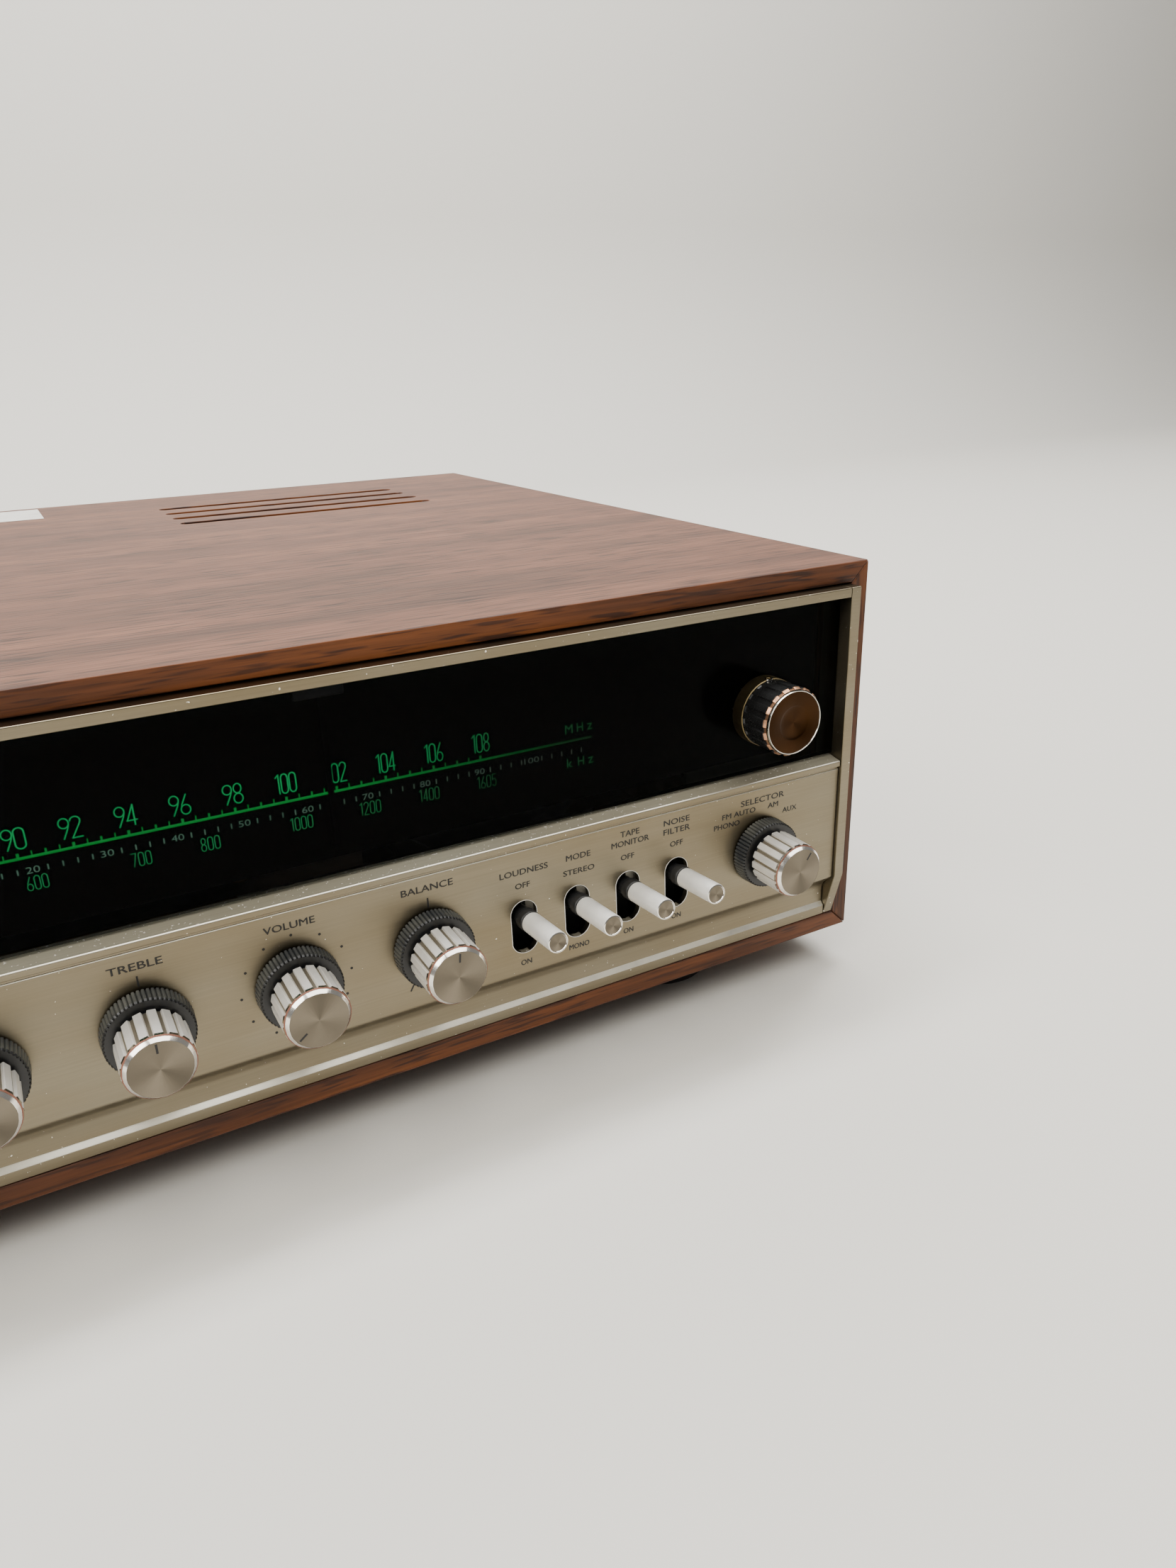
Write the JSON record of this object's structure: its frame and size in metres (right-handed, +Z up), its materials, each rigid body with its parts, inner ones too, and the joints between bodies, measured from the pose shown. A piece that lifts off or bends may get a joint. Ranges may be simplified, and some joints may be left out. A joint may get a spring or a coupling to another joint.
{
  "type": "stereo receiver",
  "caption": "Table-top stereo receiver in a walnut veneer sleeve, with a dark tuning dial over an aluminium control panel with knobs and lever switches, feet and rear sockets.",
  "frame": {"origin": "middle of the bottom of the whole set's box, on the surface that the feet stand on", "axes": "+X to the right of someone facing the front, +Y from the front to the back, +Z up"},
  "size_m": [0.43, 0.3464, 0.133],
  "materials": {
    "walnut_veneer": "satin lacquered veneer",
    "foot_rubber": "moulded",
    "champagne_aluminium": "brushed champagne anodised",
    "bright_aluminium": "turned and polished",
    "smoked_window": "polished smoked",
    "black_plastic": "moulded",
    "dial_black": "matt",
    "meter_case": "moulded",
    "needle_red": "painted",
    "bronze_aluminium": "spun bronze anodised",
    "brass": "turned",
    "zinc_steel": "zinc plated",
    "laminations": "varnished",
    "board_resin": "phenolic laminate",
    "bakelite": "moulded",
    "ferrite": "sleeved",
    "nickel": "nickel plated"
  },
  "bodies": {
    "receiver": {"cabinet_top": "walnut_veneer", "cabinet_left_side": "walnut_veneer", "cabinet_right_side": "walnut_veneer", "cabinet_bottom": "walnut_veneer", "foot_front_left": "foot_rubber", "foot_front_right": "foot_rubber", "foot_rear_left": "foot_rubber", "foot_rear_right": "foot_rubber", "top_rail": "champagne_aluminium", "left_end_cap": "champagne_aluminium", "right_end_cap": "champagne_aluminium", "control_panel": "champagne_aluminium", "dial_glass": "smoked_window", "dial_plate": "dial_black", "signal_meter": "meter_case", "control_bracket": "zinc_steel", "headphone_jack": "nickel", "chassis": "zinc_steel", "rear_panel": "zinc_steel", "power_transformer": "laminations", "heat_sink": "bright_aluminium", "circuit_board": "board_resin", "tuning_capacitor": "bright_aluminium", "phono_sockets": "bakelite", "terminal_strip": "bakelite", "ac_outlet": "black_plastic", "cord_grommet": "black_plastic"},
    "tuning_control": {"tuning_knob": "black_plastic", "tuning_knob_cap": "bronze_aluminium", "tuning_shaft": "brass"},
    "string_drum": {"tuning_drum": "zinc_steel"},
    "pointer": {"dial_pointer": "dial_black"},
    "needle": {"meter_needle": "needle_red"},
    "speakers_control": {"speakers_knob": "bright_aluminium", "speakers_knob_skirt": "black_plastic", "speakers_shaft": "zinc_steel"},
    "bass_control": {"bass_knob": "bright_aluminium", "bass_knob_skirt": "black_plastic", "bass_shaft": "zinc_steel"},
    "treble_control": {"treble_knob": "bright_aluminium", "treble_knob_skirt": "black_plastic", "treble_shaft": "zinc_steel"},
    "volume_control": {"volume_knob": "bright_aluminium", "volume_knob_skirt": "black_plastic", "volume_shaft": "zinc_steel"},
    "balance_control": {"balance_knob": "bright_aluminium", "balance_knob_skirt": "black_plastic", "balance_shaft": "zinc_steel"},
    "selector_control": {"selector_knob": "bright_aluminium", "selector_knob_skirt": "black_plastic", "selector_shaft": "zinc_steel"},
    "loudness_lever": {"loudness_handle": "bright_aluminium", "loudness_arm": "black_plastic"},
    "mode_lever": {"mode_handle": "bright_aluminium", "mode_arm": "black_plastic"},
    "tape_monitor_lever": {"tape_monitor_handle": "bright_aluminium", "tape_monitor_arm": "black_plastic"},
    "noise_filter_lever": {"noise_filter_handle": "bright_aluminium", "noise_filter_arm": "black_plastic"},
    "aerial": {"antenna_rod": "ferrite"}
  },
  "joints": [
    {"name": "tuning_turn", "type": "hinge", "parent": "receiver", "child": "tuning_control", "pos_m": [0.1766, -0.14985, 0.0946], "axis": [0, 1, 0], "range_deg": [-1513, 772]},
    {"name": "drum_turn", "type": "hinge", "parent": "receiver", "child": "string_drum", "pos_m": [0.105, -0.10985, 0.084], "axis": [0, 1, 0], "range_deg": [-121, 61.8]},
    {"name": "pointer_slide", "type": "slide", "parent": "receiver", "child": "pointer", "axis": [1, 0, 0], "range_m": [-0.0792, 0.0404]},
    {"name": "needle_swing", "type": "hinge", "parent": "receiver", "child": "needle", "pos_m": [-0.106, -0.13135, 0.088], "axis": [0, 1, 0], "range_deg": [0, 80]},
    {"name": "speakers_turn", "type": "hinge", "parent": "receiver", "child": "speakers_control", "pos_m": [-0.1764, -0.14985, 0.051], "axis": [0, 1, 0], "range_deg": [-30, 60]},
    {"name": "bass_turn", "type": "hinge", "parent": "receiver", "child": "bass_control", "pos_m": [-0.0338, -0.14985, 0.051], "axis": [0, 1, 0], "range_deg": [-150, 150]},
    {"name": "treble_turn", "type": "hinge", "parent": "receiver", "child": "treble_control", "pos_m": [0.001, -0.14985, 0.051], "axis": [0, 1, 0], "range_deg": [-150, 150]},
    {"name": "volume_turn", "type": "hinge", "parent": "receiver", "child": "volume_control", "pos_m": [0.0358, -0.14985, 0.051], "axis": [0, 1, 0], "range_deg": [-22, 278]},
    {"name": "balance_turn", "type": "hinge", "parent": "receiver", "child": "balance_control", "pos_m": [0.0706, -0.14985, 0.051], "axis": [0, 1, 0], "range_deg": [-155, 145]},
    {"name": "selector_turn", "type": "hinge", "parent": "receiver", "child": "selector_control", "pos_m": [0.1764, -0.14985, 0.051], "axis": [0, 1, 0], "range_deg": [-90, 0]},
    {"name": "loudness_flip", "type": "hinge", "parent": "receiver", "child": "loudness_lever", "pos_m": [0.0971, -0.12025, 0.0483], "axis": [1, 0, 0], "range_deg": [0, 10.6]},
    {"name": "mode_flip", "type": "hinge", "parent": "receiver", "child": "mode_lever", "pos_m": [0.1133, -0.12025, 0.0483], "axis": [1, 0, 0], "range_deg": [0, 10.6]},
    {"name": "tape_monitor_flip", "type": "hinge", "parent": "receiver", "child": "tape_monitor_lever", "pos_m": [0.1296, -0.12025, 0.0483], "axis": [1, 0, 0], "range_deg": [0, 10.6]},
    {"name": "noise_filter_flip", "type": "hinge", "parent": "receiver", "child": "noise_filter_lever", "pos_m": [0.1459, -0.12025, 0.0483], "axis": [1, 0, 0], "range_deg": [0, 10.6]},
    {"name": "aerial_swing", "type": "hinge", "parent": "receiver", "child": "aerial", "pos_m": [0.02, 0.16715, 0.11], "axis": [0, 0, 1], "range_deg": [0, 150]}
  ],
  "couplings": [
    {"joint": "pointer_slide", "follows": "tuning_turn", "m_per_rad": 0.003},
    {"joint": "drum_turn", "follows": "tuning_turn", "ratio": 0.08}
  ]
}
